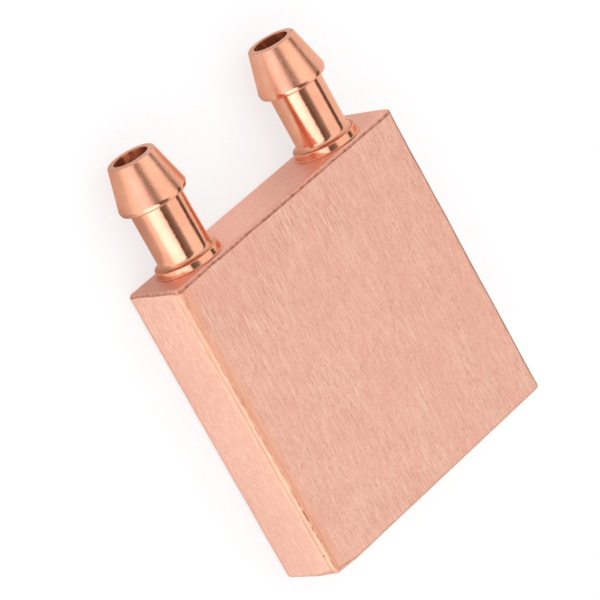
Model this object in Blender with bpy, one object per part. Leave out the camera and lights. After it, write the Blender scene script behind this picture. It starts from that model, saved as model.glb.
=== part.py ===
"""A copper water block for a graphics processor.

A milled copper body holds a flow chamber. A plate with skived fins closes the chamber from
below and touches the chip. Two turned hose barbs seat in counterbored ports on one edge.
Every piece is brazed in, and nothing moves.

Units are metres. +X runs from the inlet to the outlet, +Y towards the hoses and +Z through
the thickness. The origin is the middle of the body's underside.
"""
import math

import bmesh
import bpy
from mathutils import Matrix, Vector

MM = 0.001

# Body
BODY_WIDTH = 40.0 * MM
BODY_LENGTH = 40.4 * MM
BODY_THICKNESS = 9.5 * MM
EDGE_ROUNDING = 0.5 * MM
SIDE_WALL = 3.5 * MM
COVER_THICKNESS = 2.5 * MM
CHAMBER_CORNER = 3.0 * MM

# Ports, which lie a little off centre as a pair
PORT_INSET = 7.1 * MM
PORT_PAIR_OFFSET = -0.25 * MM
PORT_LIP = 1.0 * MM
PORT_CLEARANCE = 0.2 * MM

# Cold plate and the rebate that it lies in
PLATE_THICKNESS = 2.5 * MM
LEDGE_WIDTH = 1.5 * MM
REBATE_CORNER = 2.0 * MM
SEAM_WIDTH = 0.3 * MM

# Skived fins
FIN_ROOT_THICKNESS = 0.5 * MM
FIN_TIP_THICKNESS = 0.38 * MM
FIN_PITCH = 1.0 * MM
FIN_CURL = 0.25 * MM
FIN_ROOT_ROUNDING = 0.12 * MM
FIN_TIP_CLEARANCE = 0.3 * MM
FIN_END_CLEARANCE = 0.7 * MM
FIN_PORT_CLEARANCE = 1.2 * MM
FIN_BANK_SINK = 0.6 * MM

# Hose barb, measured outwards from the body's face
BORE_RADIUS = 2.2 * MM
BORE_MOUTH_ROUNDING = 0.18 * MM
SPIGOT_RADIUS = 3.0 * MM
SPIGOT_LENGTH = 2.0 * MM
SPIGOT_ROUNDING = 0.3 * MM
COLLAR_RADIUS = 4.15 * MM
COLLAR_HEIGHT = 0.95 * MM
COLLAR_ROUNDING = 0.14 * MM
NECK_RADIUS = 3.43 * MM
NECK_LENGTH = 7.5 * MM
NECK_FILLET = 0.45 * MM
UNDERSIDE_HEIGHT = 0.62 * MM
UNDERSIDE_FILLET = 0.1 * MM
CONE_RADIUS = 4.4 * MM
CONE_ROUNDING = 0.6 * MM
CONE_LENGTH = 5.46 * MM
TIP_RADIUS = 3.03 * MM
TIP_ROUNDING = 0.32 * MM

# Braze fillet round each collar's foot
BRAZE_SPREAD = 0.35 * MM
BRAZE_HEIGHT = 0.32 * MM

# How finely round forms are faceted, and how far cutters run past what they cut
TURNED_SEGMENTS = 40
ARC_STEP = math.radians(22.5)
CORNER_SEGMENTS = 6
EDGE_SEGMENTS = 4
BRAZE_STEPS = 4
FIN_FLANK_STEPS = 4
SHARP_ANGLE = math.radians(35)
CUT_OVERRUN = 1.0 * MM

# Sizes that follow from the ones above
PLATE_INSET = LEDGE_WIDTH + SEAM_WIDTH
COUNTERBORE_DEPTH = SPIGOT_LENGTH + PORT_CLEARANCE
PORT_WALL = COUNTERBORE_DEPTH + PORT_LIP + PLATE_INSET
PORT_FACE_Y = BODY_LENGTH / 2
CHAMBER_TOP = BODY_THICKNESS - COVER_THICKNESS
CHAMBER_WIDTH = BODY_WIDTH - 2 * SIDE_WALL
CHAMBER_LENGTH = BODY_LENGTH - SIDE_WALL - PORT_WALL
CHAMBER_CENTRE_Y = (SIDE_WALL - PORT_WALL) / 2
PORT_HEIGHT = (PLATE_THICKNESS + CHAMBER_TOP) / 2
INLET_X = PORT_PAIR_OFFSET - BODY_WIDTH / 2 + PORT_INSET
OUTLET_X = PORT_PAIR_OFFSET + BODY_WIDTH / 2 - PORT_INSET
UNDERSIDE_START = COLLAR_HEIGHT + NECK_LENGTH
CONE_START = UNDERSIDE_START + UNDERSIDE_HEIGHT
TIP_HEIGHT = CONE_START + CONE_LENGTH

# Colour and roughness of each finish
SATIN_COPPER = (0.84, 0.43, 0.33)
SATIN_ROUGHNESS = 0.38
TURNED_COPPER = (0.86, 0.42, 0.28)
TURNED_ROUGHNESS = 0.16
BRAZED_COPPER = (0.80, 0.34, 0.20)
BRAZED_ROUGHNESS = 0.28
PLATE_COPPER = (0.80, 0.40, 0.30)
PLATE_ROUGHNESS = 0.34


def clear_scene():
    """Removes whatever the file opened with."""
    for item in list(bpy.data.objects):
        bpy.data.objects.remove(item, do_unlink=True)


def metal(name, colour, roughness):
    """A bare metal of one colour."""
    material = bpy.data.materials.new(name)
    material.use_nodes = True
    shader = material.node_tree.nodes["Principled BSDF"]
    shader.inputs["Base Color"].default_value = (*colour, 1.0)
    shader.inputs["Metallic"].default_value = 1.0
    shader.inputs["Roughness"].default_value = roughness
    return material


def make_object(name, shape, material=None):
    """Turns a bmesh into a linked object with smooth shading and sharp corners."""
    bmesh.ops.recalc_face_normals(shape, faces=shape.faces)
    mesh = bpy.data.meshes.new(name)
    shape.to_mesh(mesh)
    shape.free()
    mesh.shade_smooth()
    mesh.set_sharp_from_angle(angle=SHARP_ANGLE)
    if material:
        mesh.materials.append(material)
    item = bpy.data.objects.new(name, mesh)
    bpy.context.scene.collection.objects.link(item)
    return item


def make_cutter(name, shape):
    """A shape that only cuts other pieces."""
    cutter = make_object(name, shape)
    cutter.hide_render = True
    cutter.display_type = "WIRE"
    return cutter


def combine(target, other, operation):
    """Adds one exact Boolean step to a piece."""
    step = target.modifiers.new(other.name, "BOOLEAN")
    step.operation = operation
    step.solver = "EXACT"
    step.object = other


def rounded_rectangle(width, length, radius, centre_y):
    """Outline points of a rectangle with round corners, anticlockwise."""
    quarters = (
        (width / 2 - radius, length / 2 - radius, 0),
        (radius - width / 2, length / 2 - radius, 90),
        (radius - width / 2, radius - length / 2, 180),
        (width / 2 - radius, radius - length / 2, 270),
    )
    points = []
    for corner_x, corner_y, start in quarters:
        for step in range(CORNER_SEGMENTS + 1):
            angle = math.radians(start + 90 * step / CORNER_SEGMENTS)
            x = corner_x + radius * math.cos(angle)
            y = corner_y + radius * math.sin(angle) + centre_y
            points.append((x, y))
    return points


def prism(outline, low, high):
    """A solid with a flat outline, from one height to another."""
    shape = bmesh.new()
    corners = [shape.verts.new((x, y, low)) for x, y in outline]
    floor = shape.faces.new(corners)
    raised = bmesh.ops.extrude_face_region(shape, geom=[floor], use_keep_orig=True)
    top = [part for part in raised["geom"] if isinstance(part, bmesh.types.BMVert)]
    bmesh.ops.translate(shape, verts=top, vec=(0, 0, high - low))
    return shape


def ring_prism(outer, inner, low, high):
    """A frame between two outlines that have as many points as each other."""
    shape = bmesh.new()
    loops = []
    for outline in (outer, inner):
        corners = [shape.verts.new((x, y, low)) for x, y in outline]
        loops.append([shape.edges.new((a, b)) for a, b in zip(corners, corners[1:] + corners[:1])])
    flat = bmesh.ops.bridge_loops(shape, edges=loops[0] + loops[1])
    raised = bmesh.ops.extrude_face_region(shape, geom=flat["faces"], use_keep_orig=True)
    top = [part for part in raised["geom"] if isinstance(part, bmesh.types.BMVert)]
    bmesh.ops.translate(shape, verts=top, vec=(0, 0, high - low))
    return shape


def round_corner(before, corner, after, radius):
    """Points of the arc that rounds one corner of a profile."""
    to_before = (before - corner).normalized()
    to_after = (after - corner).normalized()
    half_angle = to_before.angle(to_after) / 2
    reach = radius / math.tan(half_angle)
    centre = corner + (to_before + to_after).normalized() * radius / math.sin(half_angle)
    start = corner + to_before * reach - centre
    end = corner + to_after * reach - centre
    sweep = start.angle_signed(end)
    steps = math.ceil(abs(sweep) / ARC_STEP)
    points = []
    for step in range(steps + 1):
        turn = Matrix.Rotation(-sweep * step / steps, 2)
        points.append(centre + turn @ start)
    return points


def rounded_profile(corners):
    """A closed profile from corners given as radius, height and rounding."""
    places = [Vector((radius, height)) for radius, height, _ in corners]
    points = []
    for index, (_, _, rounding) in enumerate(corners):
        corner = places[index]
        if rounding:
            before = places[index - 1]
            after = places[(index + 1) % len(places)]
            points.extend(round_corner(before, corner, after, rounding))
        else:
            points.append(corner)
    return points


def turn_about_port(profile, port_x):
    """Turns a closed profile of radius and height about a port's axis."""
    shape = bmesh.new()
    corners = [shape.verts.new((point.x, point.y, 0)) for point in profile]
    edges = [shape.edges.new((a, b)) for a, b in zip(corners, corners[1:] + corners[:1])]
    bmesh.ops.spin(
        shape,
        geom=corners + edges,
        cent=(0, 0, 0),
        axis=(0, 1, 0),
        angle=math.tau,
        steps=TURNED_SEGMENTS,
        use_merge=True,
    )
    bmesh.ops.translate(shape, verts=shape.verts, vec=(port_x, PORT_FACE_Y, PORT_HEIGHT))
    return shape


def barb_profile():
    """Half section of a hose barb, from its spigot out to its tip and back down the bore."""
    return rounded_profile((
        (BORE_RADIUS, -SPIGOT_LENGTH, 0),
        (SPIGOT_RADIUS, -SPIGOT_LENGTH, SPIGOT_ROUNDING),
        (SPIGOT_RADIUS, 0, 0),
        (COLLAR_RADIUS, 0, 0),
        (COLLAR_RADIUS, COLLAR_HEIGHT, COLLAR_ROUNDING),
        (NECK_RADIUS, COLLAR_HEIGHT, NECK_FILLET),
        (NECK_RADIUS, UNDERSIDE_START, UNDERSIDE_FILLET),
        (CONE_RADIUS, CONE_START, CONE_ROUNDING),
        (TIP_RADIUS, TIP_HEIGHT, TIP_ROUNDING),
        (BORE_RADIUS, TIP_HEIGHT, BORE_MOUTH_ROUNDING),
    ))


def braze_profile():
    """Half section of the hollow fillet of braze between a collar and the body's face."""
    toe = Vector((COLLAR_RADIUS + BRAZE_SPREAD, 0))
    heel = Vector((COLLAR_RADIUS, BRAZE_HEIGHT))
    points = [Vector((COLLAR_RADIUS, 0)), toe]
    for step in range(1, BRAZE_STEPS):
        angle = math.radians(90 * step / BRAZE_STEPS)
        sag_x = BRAZE_SPREAD * (1 - math.sin(angle))
        sag_y = BRAZE_HEIGHT * (1 - math.cos(angle))
        points.append(Vector((COLLAR_RADIUS + sag_x, sag_y)))
    points.append(heel)
    return points


def port_cylinder(radius, depth, port_x):
    """A round cutter that runs from outside the face to a depth inside it."""
    shape = bmesh.new()
    bmesh.ops.create_cone(
        shape,
        cap_ends=True,
        segments=TURNED_SEGMENTS,
        radius1=radius,
        radius2=radius,
        depth=depth + CUT_OVERRUN,
    )
    bmesh.ops.rotate(shape, verts=shape.verts, matrix=Matrix.Rotation(math.radians(90), 3, "X"))
    middle = PORT_FACE_Y + (CUT_OVERRUN - depth) / 2
    bmesh.ops.translate(shape, verts=shape.verts, vec=(port_x, middle, PORT_HEIGHT))
    return shape


def make_body(material):
    """The slab, with its chamber, the rebate for the plate and both ports cut into it."""
    shape = bmesh.new()
    bmesh.ops.create_cube(shape, size=1.0)
    bmesh.ops.scale(shape, verts=shape.verts, vec=(BODY_WIDTH, BODY_LENGTH, BODY_THICKNESS))
    bmesh.ops.translate(shape, verts=shape.verts, vec=(0, 0, BODY_THICKNESS / 2))
    bmesh.ops.bevel(
        shape,
        geom=shape.edges[:],
        offset=EDGE_ROUNDING,
        segments=EDGE_SEGMENTS,
        profile=0.5,
        affect="EDGES",
    )
    body = make_object("block_body", shape, material)

    chamber = prism(chamber_outline(), -CUT_OVERRUN, CHAMBER_TOP)
    combine(body, make_cutter("chamber_cutter", chamber), "DIFFERENCE")
    rebate = prism(rebate_outline(), -CUT_OVERRUN, PLATE_THICKNESS)
    combine(body, make_cutter("rebate_cutter", rebate), "DIFFERENCE")
    for side, port_x in (("inlet", INLET_X), ("outlet", OUTLET_X)):
        seat = port_cylinder(SPIGOT_RADIUS + PORT_CLEARANCE, COUNTERBORE_DEPTH, port_x)
        combine(body, make_cutter(side + "_seat_cutter", seat), "DIFFERENCE")
        bore = port_cylinder(BORE_RADIUS, PORT_WALL + CUT_OVERRUN, port_x)
        combine(body, make_cutter(side + "_bore_cutter", bore), "DIFFERENCE")
    return body


def chamber_outline():
    """Outline of the flow chamber."""
    return rounded_rectangle(CHAMBER_WIDTH, CHAMBER_LENGTH, CHAMBER_CORNER, CHAMBER_CENTRE_Y)


def rebate_outline():
    """Outline of the recess in the underside that the plate and its seam fill."""
    width = CHAMBER_WIDTH + 2 * PLATE_INSET
    length = CHAMBER_LENGTH + 2 * PLATE_INSET
    return rounded_rectangle(width, length, REBATE_CORNER, CHAMBER_CENTRE_Y)


def plate_outline():
    """Outline of the cold plate, one seam's width inside the rebate."""
    width = CHAMBER_WIDTH + 2 * LEDGE_WIDTH
    length = CHAMBER_LENGTH + 2 * LEDGE_WIDTH
    return rounded_rectangle(width, length, REBATE_CORNER - SEAM_WIDTH, CHAMBER_CENTRE_Y)


def fin_flank(root_y, side, height):
    """One flank of a curled fin, from its root up to its tip. Side is -1 or 1."""
    points = []
    for step in range(FIN_FLANK_STEPS + 1):
        share = step / FIN_FLANK_STEPS
        half = (FIN_ROOT_THICKNESS + (FIN_TIP_THICKNESS - FIN_ROOT_THICKNESS) * share) / 2
        lean = FIN_CURL * share ** 2
        rise = FIN_ROOT_ROUNDING + (height - FIN_ROOT_ROUNDING) * share
        points.append((root_y + lean + side * half, PLATE_THICKNESS + rise))
    return points


def fin_bank_section(height, length):
    """Section of the fin bank across its slots: one comb, whose back is sunk in the plate."""
    count = int((length - FIN_ROOT_THICKNESS - FIN_CURL) / FIN_PITCH) + 1
    span = (count - 1) * FIN_PITCH + FIN_CURL
    first = CHAMBER_CENTRE_Y - span / 2
    foot = FIN_ROOT_THICKNESS / 2 + FIN_ROOT_ROUNDING
    back = PLATE_THICKNESS - FIN_BANK_SINK
    points = [(first - foot, back)]
    for index in range(count):
        root_y = first + index * FIN_PITCH
        points.append((root_y - foot, PLATE_THICKNESS))
        points.extend(fin_flank(root_y, -1, height))
        points.extend(reversed(fin_flank(root_y, 1, height)))
        points.append((root_y + foot, PLATE_THICKNESS))
    points.append((first + (count - 1) * FIN_PITCH + foot, back))
    return points


def make_cold_plate(material):
    """The plate with its skived fins, in one piece."""
    plate = make_object("cold_plate", prism(plate_outline(), 0, PLATE_THICKNESS), material)
    height = CHAMBER_TOP - FIN_TIP_CLEARANCE - PLATE_THICKNESS
    length = CHAMBER_LENGTH - 2 * FIN_END_CLEARANCE
    section = fin_bank_section(height, length)
    reach = BORE_RADIUS + FIN_PORT_CLEARANCE
    bank = prism(section, INLET_X + reach, OUTLET_X - reach)
    # The section was drawn in Y and Z, so X, Y and Z change places
    for vert in bank.verts:
        vert.co = Vector((vert.co.z, vert.co.x, vert.co.y))
    combine(plate, make_cutter("fin_bank", bank), "UNION")
    return plate


def make_port_pieces(side, port_x, barb_material, braze_material):
    """A barb and the braze round its collar."""
    make_object(side + "_barb", turn_about_port(barb_profile(), port_x), barb_material)
    make_object(side + "_braze_ring", turn_about_port(braze_profile(), port_x), braze_material)


def build():
    """Makes every piece in its place."""
    clear_scene()
    satin = metal("satin_copper", SATIN_COPPER, SATIN_ROUGHNESS)
    turned = metal("turned_copper", TURNED_COPPER, TURNED_ROUGHNESS)
    braze = metal("brazed_copper", BRAZED_COPPER, BRAZED_ROUGHNESS)
    plate_copper = metal("plate_copper", PLATE_COPPER, PLATE_ROUGHNESS)
    make_body(satin)
    make_cold_plate(plate_copper)
    seam = ring_prism(rebate_outline(), plate_outline(), 0, PLATE_THICKNESS)
    make_object("plate_braze_seam", seam, braze)
    make_port_pieces("inlet", INLET_X, turned, braze)
    make_port_pieces("outlet", OUTLET_X, turned, braze)


build()
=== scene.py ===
import math

import bmesh
import bpy
from mathutils import Matrix, Vector, noise


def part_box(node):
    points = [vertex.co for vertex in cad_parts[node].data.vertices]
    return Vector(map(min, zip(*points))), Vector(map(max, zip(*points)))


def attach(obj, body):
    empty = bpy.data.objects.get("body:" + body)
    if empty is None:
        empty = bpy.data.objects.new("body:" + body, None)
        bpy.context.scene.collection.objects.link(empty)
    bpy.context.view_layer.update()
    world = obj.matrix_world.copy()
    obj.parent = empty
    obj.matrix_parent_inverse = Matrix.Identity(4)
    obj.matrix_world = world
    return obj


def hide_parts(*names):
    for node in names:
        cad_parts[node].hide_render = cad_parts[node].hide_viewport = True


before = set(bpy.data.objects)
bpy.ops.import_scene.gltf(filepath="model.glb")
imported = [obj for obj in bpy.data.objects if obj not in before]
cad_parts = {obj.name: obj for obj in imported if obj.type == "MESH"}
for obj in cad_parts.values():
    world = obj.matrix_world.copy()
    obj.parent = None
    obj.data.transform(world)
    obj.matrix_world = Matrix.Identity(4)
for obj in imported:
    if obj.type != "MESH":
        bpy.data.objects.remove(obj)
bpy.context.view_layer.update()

MM = 0.001

# The slab, from the solids, with the rounding that wear has left on each of its edges
BODY_LOW, BODY_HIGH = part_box("block_body")
PLAIN_ROUNDING = 0.5 * MM
LONG_EDGE_ROUNDING = 1.0 * MM
BARB_EDGE_ROUNDING = 0.6 * MM
BARB_CORNER_ROUNDING = 0.47 * MM
CRISP_ROUNDING = 0.2 * MM
FAR_EDGE_ROUNDING = 0.4 * MM
EDGE_REACH = 0.5 * MM
WORN_CORNER_ROUNDING = 0.9 * MM
WORN_CORNER_REACH = 4.0 * MM
RIGHT_EDGE_ROUNDING = 0.6 * MM
ROUNDING_WOBBLE = 0.2
ROUNDING_WOBBLE_LENGTH = 4.0 * MM

# Lines of the slab's grid: close together in a band along each edge, and even between the bands
EDGE_BAND = 1.2 * MM
FINE_STEP = 0.04 * MM
STEP_GROWTH = 1.14
GRID_STEP = 0.45 * MM

# Faces that meet at more than this angle keep a sharp edge between them
SHARP_ANGLE = math.radians(40)

# The hollows in the slab
SIDE_WALL = 3.5 * MM
COVER_THICKNESS = 2.5 * MM
CHAMBER_CORNER = 3.0 * MM
REBATE_CORNER = 2.0 * MM
PORT_CLEARANCE = 0.2 * MM
CUT_OVERRUN = 1.0 * MM
WELD_DISTANCE = 0.005 * MM
HOLLOW_CORNER_STEPS = 10

# Hose barbs, measured outwards from the body's face
BARB_TURN_STEPS = 144
BARB_ARC_STEP = math.radians(9)
LONG_STRETCH = 0.8 * MM
SUPPORT_DISTANCE = 0.1 * MM
BORE_RADIUS = 2.2 * MM
BORE_MOUTH_ROUNDING = 0.18 * MM
# Turn of the side of the bore that takes painted light
BORE_LIT_TURN = math.radians(152)
SPIGOT_RADIUS = 3.0 * MM
SPIGOT_LENGTH = 2.0 * MM
SPIGOT_ROUNDING = 0.3 * MM
COLLAR_FOOT_RADIUS = 4.21 * MM
COLLAR_RADIUS = 4.13 * MM
COLLAR_HEIGHT = 0.95 * MM
COLLAR_ROUNDING = 0.14 * MM
NECK_RADIUS = 3.43 * MM
NECK_LENGTH = 7.5 * MM
NECK_FILLET = 0.6 * MM
GROOVE_HEIGHT = 0.5 * MM
UNDERSIDE_HEIGHT = 0.74 * MM
UNDERSIDE_FILLET = 0.1 * MM
LAND_RADIUS = 4.28 * MM
LAND_HEIGHT = 0.56 * MM
LAND_ROUNDING = 0.3 * MM
CONE_RADIUS = 4.4 * MM
CONE_ROUNDING = 0.12 * MM
CONE_LENGTH = 5.34 * MM
TIP_RADIUS = 3.03 * MM
TIP_ROUNDING = 0.32 * MM
GROOVE_INSET = 0.01 * MM
UNDERSIDE_START = COLLAR_HEIGHT + NECK_LENGTH
CONE_START = UNDERSIDE_START + UNDERSIDE_HEIGHT
TIP_HEIGHT = CONE_START + CONE_LENGTH

# Braze round each collar's foot
BRAZE_SPREAD = 0.34 * MM
BRAZE_HEIGHT = 0.14 * MM
BRAZE_ARC_STEPS = 8
BRAZE_WOBBLE = 0.16
BRAZE_WAVES_PER_MM = 0.45
# Painted shadow at the braze's foot: strongest on the side that faces this turn and faint all round; the
# braze on that side is also drawn narrower
BRAZE_SHADOW_TURN = math.radians(-50)
BRAZE_SHADOW_WIDTH = 1.2
BRAZE_SHADOW_SIDE_SHRINK = 0.4
BRAZE_FAINTEST_SHADOW = 0.15

# Camera, at the photograph's angle
CAMERA_PLACE = Vector((-297.9, 168.9, 417.7)) * MM
CAMERA_TARGET = Vector((-1.958, 7.406, 4.734)) * MM
CAMERA_ROLL = math.radians(83.79)
SENSOR_WIDTH = 36.0
LENS = 269.2
CLIP_START = 0.01

# What the studio's panels face
BLOCK_MIDDLE = (BODY_LOW + BODY_HIGH) / 2

# Colours of the rubbed faces
SATIN_LIGHT = (1.0, 0.69, 0.56)
SATIN_MID = (0.94, 0.54, 0.415)
SATIN_PINK = (0.91, 0.50, 0.388)
SATIN_FLUSH = (0.88, 0.43, 0.325)
SATIN_DEEP = (0.70, 0.335, 0.25)
# Tone of the barbs' face and the one opposite: their own tone, and partly painted shade that sets how
# bright they come out
END_TONE_AND_SHADE = (0.93, 0.495, 0.37)
# Painted shade that darkens the left side
SIDE_SHADE = (0.76, 0.52, 0.40)
PALE_COPPER = (1.0, 0.70, 0.52)

# Colours of the slab's edges: painted shade, highlight and reflection bands across the long edge's
# rounding, painted shade low on the left, and the dark edge lines and nicks
EDGE_PAINTED_SHADE = (0.53, 0.33, 0.235)
EDGE_PAINTED_HIGHLIGHT = (0.70, 0.39, 0.252)
EDGE_PAINTED_DARK_BAND = (0.45, 0.23, 0.14)
# Painted orange reflection near the front of the long edge and on the front beside it
PAINTED_ORANGE_REFLECTION = (0.92, 0.46, 0.30)
# Painted shade on the lower left edge and low on the left side
LOW_EDGE_PAINTED_SHADE = (0.80, 0.34, 0.20)
# One colour for the dark lines along the edges, some of them painted shade and dark reflection, and for
# the nicks, which are wear
DARK_LINES_AND_NICKS = (0.36, 0.11, 0.065)

# Colours of the barbs, the braze and the plate
TURNED_MID = (0.88, 0.44, 0.295)
TURNED_DEEP = (0.83, 0.395, 0.255)
TURNED_TINT = (1.0, 0.80, 0.70)
# Painted shade in the groove between the collar and the neck
GROOVE_SHADE = (0.62, 0.27, 0.16)
RIM_COPPER = (0.66, 0.385, 0.305)
# Painted light and shade on the bore's wall
BORE_LIT = (1.0, 0.36, 0.18)
BORE_SHADE = (0.28, 0.055, 0.025)
BRAZE_LIGHT = (0.92, 0.46, 0.30)
BRAZE_MID = (0.88, 0.40, 0.24)
BRAZE_DEEP = (0.80, 0.32, 0.18)
# Painted shadow along the braze's foot
BRAZE_FOOT_SHADOW = (0.28, 0.07, 0.03)
PLATE_LIGHT = (0.86, 0.45, 0.34)
PLATE_MID = (0.80, 0.40, 0.30)
PLATE_DEEP = (0.76, 0.37, 0.27)

# Density of the noise along each axis, in cells to a metre, and the turns of some of it in radians;
# those that begin with END are for the barbs' face and the one opposite
LONG_STROKES = (8600, 420, 8600)
SHORT_STROKES = (9000, 700, 9000)
SHORT_TURN = (0, 0, 0.09)
END_LONG_STROKES = (330, 5600, 5200)
END_LONG_TURN = (0, 0.62, 0)
END_SHORT_STROKES = (760, 8000, 7000)
END_SHORT_TURN = (0, 0.40, 0.11)
STROKE_PATCHES = (150, 90, 150)
SATIN_CLOUDS = (150, 110, 150)
SATIN_MOTTLE = (3000, 2200, 3000)
SCRATCHES = (5600, 150, 5600)
SCRATCH_TURN = (0, 0, 0.03)
WORN_BREAKS = (1500, 900, 1500)
EDGE_DASHES = (2400, 800, 2400)
TURNING_RINGS = (200, 7000, 200)
TURNED_SKIN = (3200, 1600, 3200)
TURNED_CLOUDS = (420, 300, 420)
BORE_SPOTS = (780, 400, 780)
BRAZE_BLOBS = (900, 900, 900)
LAP_ONE_WAY = (7000, 300, 2000)
LAP_ONE_TURN = (0, 0, 0.5)
LAP_OTHER_WAY = (300, 7000, 2000)
LAP_OTHER_TURN = (0, 0, 0.35)

# Roughness before noise varies it, and the height of each finish's relief
SATIN_ROUGHNESS = 0.46
SATIN_ANISOTROPY = 0.15
TURNED_ROUGHNESS = 0.16
BRAZE_ROUGHNESS = 0.28
PLATE_ROUGHNESS = 0.3
STROKE_RELIEF = 0.011 * MM
TURNED_RELIEF = 0.008 * MM
BRAZE_RELIEF = 0.05 * MM
LAP_RELIEF = 0.01 * MM

# Where the long edge's dashes are darkest, and the nicks, as a place and a radius in millimetres
NICKED_PLACE = -12.6 * MM
NICK_SOFTNESS = 0.1 * MM
NICK_DARKNESS = 0.8
NICKS = (
    ((-19.95, -17.2, 8.9), 0.1),
    ((-20.0, -20.1, 6.4), 0.17),
    ((-19.35, -19.75, 9.35), 0.14),
    ((19.8, -19.9, 9.3), 0.2),
)

# Floor and world
FLOOR_RADIUS = 3.0
FLOOR_STEPS = 96
FLOOR_GLOW = 0.68
PAPER = (0.95, 0.95, 0.95)
WORLD_STRENGTH = 1.0

# Panels on a sphere round the block: corners as turn and slope, fades as place and value
PANEL_DISTANCE = 1.0
PANEL_CUTS = 7
EVEN = ((0.0, 1.0), (1.0, 1.0))
KEY_COLOUR = (1.0, 0.98, 1.05)
KEY_STRENGTH = 2.3
KEY_ACROSS = ((0.0, 0.66), (0.2, 0.9), (0.45, 1.0), (0.75, 0.95), (1.0, 0.62))
KEY_UP = ((0.0, 1.0), (0.5, 1.0), (0.8, 0.64), (1.0, 0.6))
KEY_CORNERS = ((-95, -0.75), (-25, -0.75), (-45, 0.42), (-95, 0.42))
TOP_COLOUR = (1.0, 0.99, 0.97)
TOP_STRENGTH = 1.17
TOP_UP = ((0.0, 1.0), (0.6, 1.0), (0.85, 1.2), (1.0, 1.25))
TOP_CORNERS = ((24, -0.75), (56, -0.75), (35, 0.42), (-21, 0.42))
NET_SHADE = (0.15, 0.11, 0.085)
WIDE_NET_ACROSS = ((0.0, 0.55), (0.11, 1.0), (0.54, 0.86), (1.0, 0.0))
WIDE_NET_CORNERS = ((-26, -0.75), (35, -0.75), (-13, 0.4), (-45, 0.4))
NARROW_NET_ACROSS = ((0.0, 0.4), (0.25, 1.0), (0.75, 1.0), (1.0, 0.4))
NARROW_NET_CORNERS = ((53, -0.6), (78, -0.6), (54, 0.4), (38, 0.4))
FAR_NET_ACROSS = ((0.0, 0.75), (1.0, 0.75))
FAR_NET_CORNERS = ((-88, 0.70), (88, 0.70), (28, 0.93), (-28, 0.93))

# Cards on the floor, in millimetres
BOUNCE_COLOUR = (1.0, 0.945, 0.89)
BOUNCE_STRENGTH = 1.75
BOUNCE_ACROSS = ((0.0, 1.0), (0.85, 0.86), (1.0, 0.66))
BOUNCE_LOW = (-420, -70, 0.1)
BOUNCE_HIGH = (-27, 110, 0.1)
WARM_SHADE = (0.22, 0.13, 0.085)
SHADE_ACROSS = ((0.38, 0.0), (0.57, 0.54), (0.72, 0.0), (0.85, 0.32), (0.92, 0.08), (1.0, 0.4))
SHADE_UP = ((0.0, 0.75), (0.117, 0.95), (0.205, 1.0), (0.264, 0.45), (0.372, 0.65), (1.0, 0.6))
SHADE_LOW = (-75, 20.25, 0.2)
SHADE_HIGH = (25, 60, 0.2)


def barb_place(side):
    """Where a barb's axis leaves the body's face."""
    low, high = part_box(side + "_barb")
    middle = (low + high) / 2
    return Vector((middle.x, BODY_HIGH.y, middle.z))


def shade_corners(mesh):
    """Smooth shading that stays sharp at the corners."""
    mesh.shade_smooth()
    mesh.set_sharp_from_angle(angle=SHARP_ANGLE)


def finish_piece(name, shape, material, node):
    """Turns a bmesh into a piece that stands for a node of the solids."""
    mesh = bpy.data.meshes.new(name)
    shape.to_mesh(mesh)
    shape.free()
    shade_corners(mesh)
    mesh.materials.append(material)
    piece = bpy.data.objects.new(name, mesh)
    bpy.context.scene.collection.objects.link(piece)
    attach(piece, "root")
    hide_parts(node)
    return piece


# Shapes


def slab_stations(low, high):
    """Places along one axis where the slab's grid has a line, close together near the edges."""
    ends = [0.0]
    step = FINE_STEP
    while ends[-1] < EDGE_BAND:
        ends.append(ends[-1] + step)
        step *= STEP_GROWTH
    span = high - low - 2 * ends[-1]
    cells = round(span / GRID_STEP)
    middle = [low + ends[-1] + span * cell / cells for cell in range(1, cells)]
    return [low + end for end in ends] + middle + [high - end for end in reversed(ends)]


def edge_rounding(point):
    """Radius of the rounding near a point, shared out between the edges by how close they are."""
    left = point.x - BODY_LOW.x
    right = BODY_HIGH.x - point.x
    far = point.y - BODY_LOW.y
    barbs = BODY_HIGH.y - point.y
    under = point.z - BODY_LOW.z
    front = BODY_HIGH.z - point.z
    worn = FAR_EDGE_ROUNDING + WORN_CORNER_ROUNDING * max(0, 1 - (left + front) / WORN_CORNER_REACH)
    edges = (
        (left, front, LONG_EDGE_ROUNDING),
        (left, under, PLAIN_ROUNDING),
        (left, barbs, BARB_CORNER_ROUNDING),
        (left, far, worn),
        (front, barbs, BARB_EDGE_ROUNDING),
        (front, right, RIGHT_EDGE_ROUNDING),
        (front, far, worn),
        (right, barbs, CRISP_ROUNDING),
        (right, far, FAR_EDGE_ROUNDING),
        (right, under, PLAIN_ROUNDING),
        (under, barbs, PLAIN_ROUNDING),
        (under, far, PLAIN_ROUNDING),
    )
    total = 0.0
    shared = 0.0
    for one, other, radius in edges:
        weight = 1 / (one ** 2 + other ** 2 + EDGE_REACH ** 2) ** 2
        total += weight
        shared += weight * radius
    wobble = 1 + ROUNDING_WOBBLE * noise.noise(point / ROUNDING_WOBBLE_LENGTH)
    return shared / total * wobble


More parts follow.
